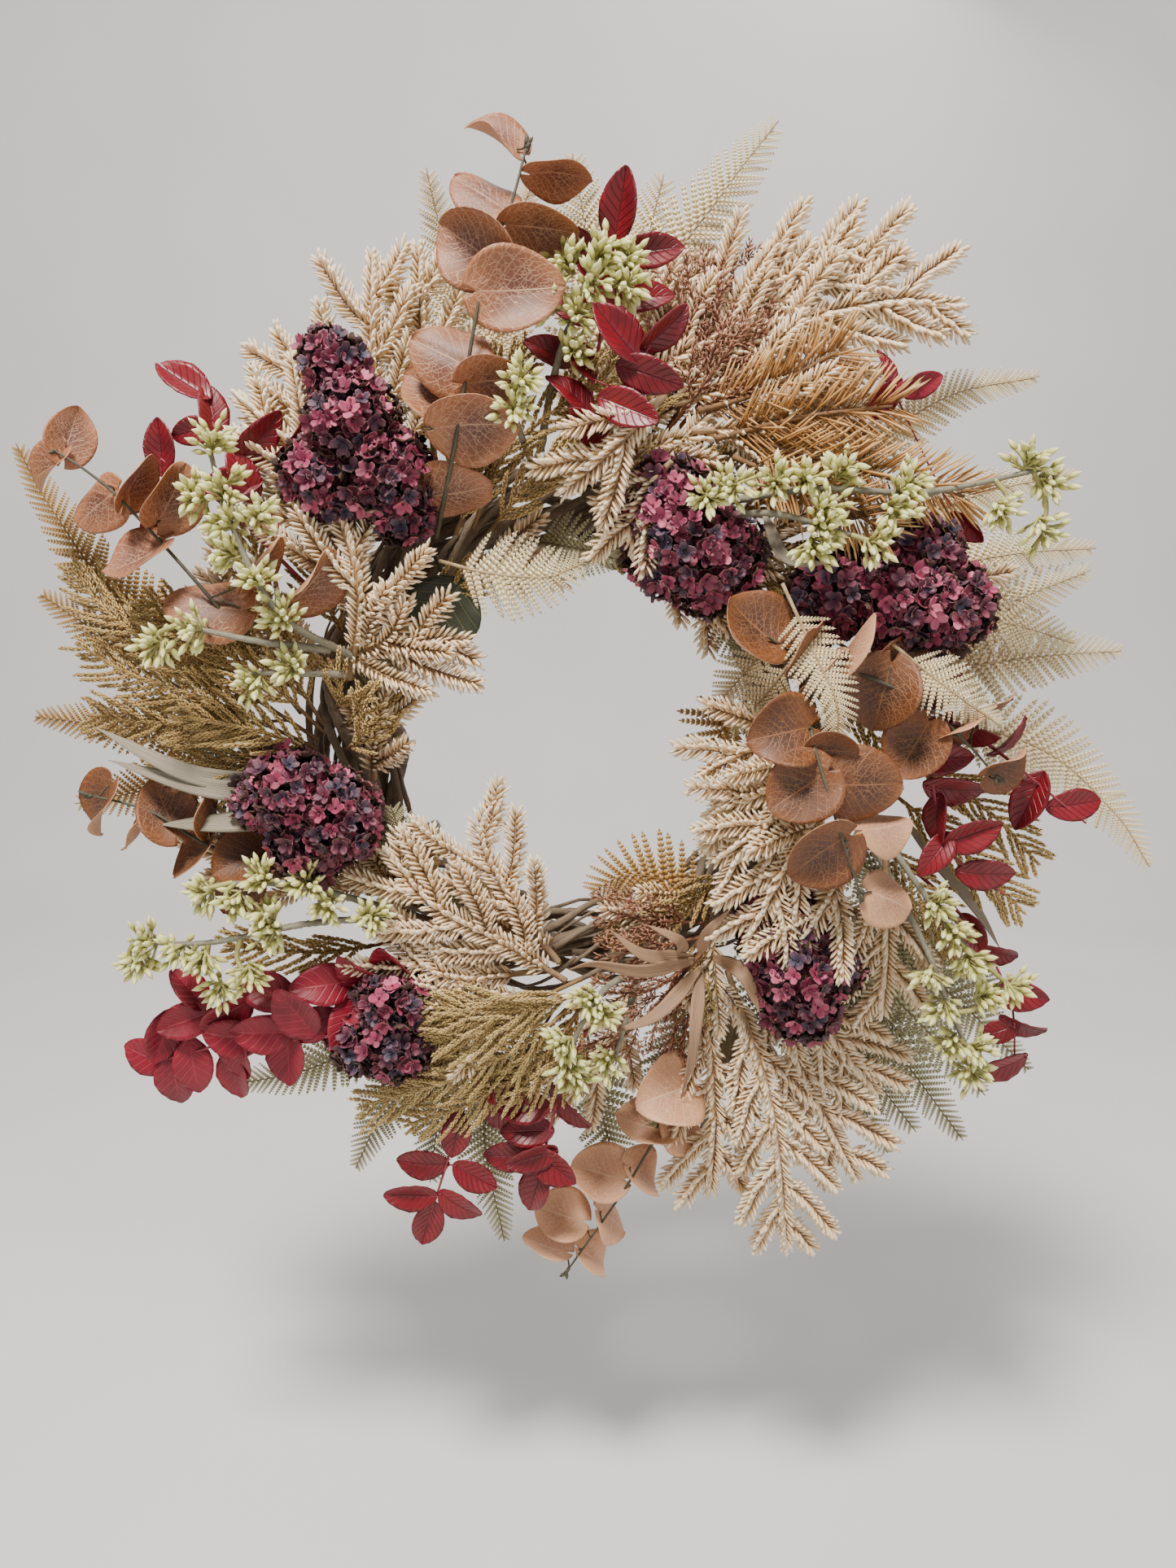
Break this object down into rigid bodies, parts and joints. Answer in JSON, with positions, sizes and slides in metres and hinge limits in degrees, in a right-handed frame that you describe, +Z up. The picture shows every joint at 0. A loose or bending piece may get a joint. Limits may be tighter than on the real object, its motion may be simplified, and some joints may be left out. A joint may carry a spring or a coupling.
{
  "type": "harvest door wreath",
  "caption": "Round autumn door wreath: a twisted grapevine ring dressed all round with eucalyptus, red leaves, cream spruce and fern, seeded sprays and plum flower heads, with a wire loop.",
  "frame": {"origin": "hook_seat: the point inside the top of the grapevine ring where a door hook or strap carries the wreath", "axes": "+Z up as hung, +X to the viewer's right, the decorated front faces -Y and the back faces the door at +Y"},
  "size_m": [0.6355, 0.1661, 0.6533],
  "materials": {
    "vine_bark": "rough twisted bark",
    "binding_wire": "dark florist's wire",
    "fern_cream": "dry matt fern, cream to golden tan",
    "eucalyptus_brown": "satin preserved leaf, tan rim and mauve-brown middle",
    "red_leaf": "glossy burgundy leaf with darker veins",
    "seed_green": "pale yellow-green buds on bark-coloured stems",
    "spruce_cream": "cream needle tips over a tan base",
    "juniper_olive": "olive-tan scaly twigs",
    "cedar_rust": "rust-brown scaly twigs",
    "pine_gold": "golden-brown needles",
    "grass_tan": "dry pinkish-tan blades",
    "lemon_green": "dark green glossy leaf",
    "hydrangea_plum": "burgundy and plum petals with slate-blue ones"
  },
  "bodies": {
    "wreath": {"vine_core": "vine_bark", "vine_strand_1": "vine_bark", "vine_strand_2": "vine_bark", "vine_strand_3": "vine_bark", "vine_strand_4": "vine_bark", "binding_wire_1": "binding_wire", "binding_wire_2": "binding_wire", "hanger_eye": "binding_wire", "hydrangea_top_left": "hydrangea_plum", "hydrangea_top_right": "hydrangea_plum", "hydrangea_right": "hydrangea_plum", "hydrangea_left": "hydrangea_plum", "hydrangea_bottom_left": "hydrangea_plum", "hydrangea_bottom_right": "hydrangea_plum", "fern_top_right": "fern_cream", "fern_top_left": "fern_cream", "fern_left": "fern_cream", "fern_inner_top": "fern_cream", "fern_right_upper": "fern_cream", "fern_right": "fern_cream", "fern_right_front": "fern_cream", "fern_bottom_inner": "fern_cream", "fern_bottom_right": "fern_cream", "fern_bottom": "fern_cream", "eucalyptus_top": "eucalyptus_brown", "eucalyptus_left": "eucalyptus_brown", "eucalyptus_left_low": "eucalyptus_brown", "eucalyptus_right": "eucalyptus_brown", "eucalyptus_right_outer": "eucalyptus_brown", "eucalyptus_bottom": "eucalyptus_brown", "red_left_top": "red_leaf", "red_top": "red_leaf", "red_top_front": "red_leaf", "red_right": "red_leaf", "red_right_low": "red_leaf", "red_bottom_left": "red_leaf", "red_bottom": "red_leaf", "seeded_left": "seed_green", "seeded_top": "seed_green", "seeded_right_top": "seed_green", "seeded_bottom_left": "seed_green", "seeded_right_low": "seed_green", "spruce_top_left": "spruce_cream", "spruce_left": "spruce_cream", "spruce_top_right": "spruce_cream", "spruce_top_front": "spruce_cream", "spruce_bottom_left": "spruce_cream", "spruce_right_low": "spruce_cream", "spruce_bottom": "spruce_cream", "juniper_left": "juniper_olive", "juniper_top": "juniper_olive", "juniper_bottom": "juniper_olive", "cedar_top_right": "cedar_rust", "cedar_bottom": "cedar_rust", "pine_top_right": "pine_gold", "grass_bottom": "grass_tan", "grass_left": "grass_tan", "lemon_leaf": "lemon_green"},
    "hanging_loop": {"hanging_loop": "binding_wire"}
  },
  "joints": [
    {"name": "loop_swing", "type": "hinge", "parent": "wreath", "child": "hanging_loop", "pos_m": [0, 0.0349, 0.03], "axis": [1, 0, 0], "range_deg": [-4, 180]}
  ]
}
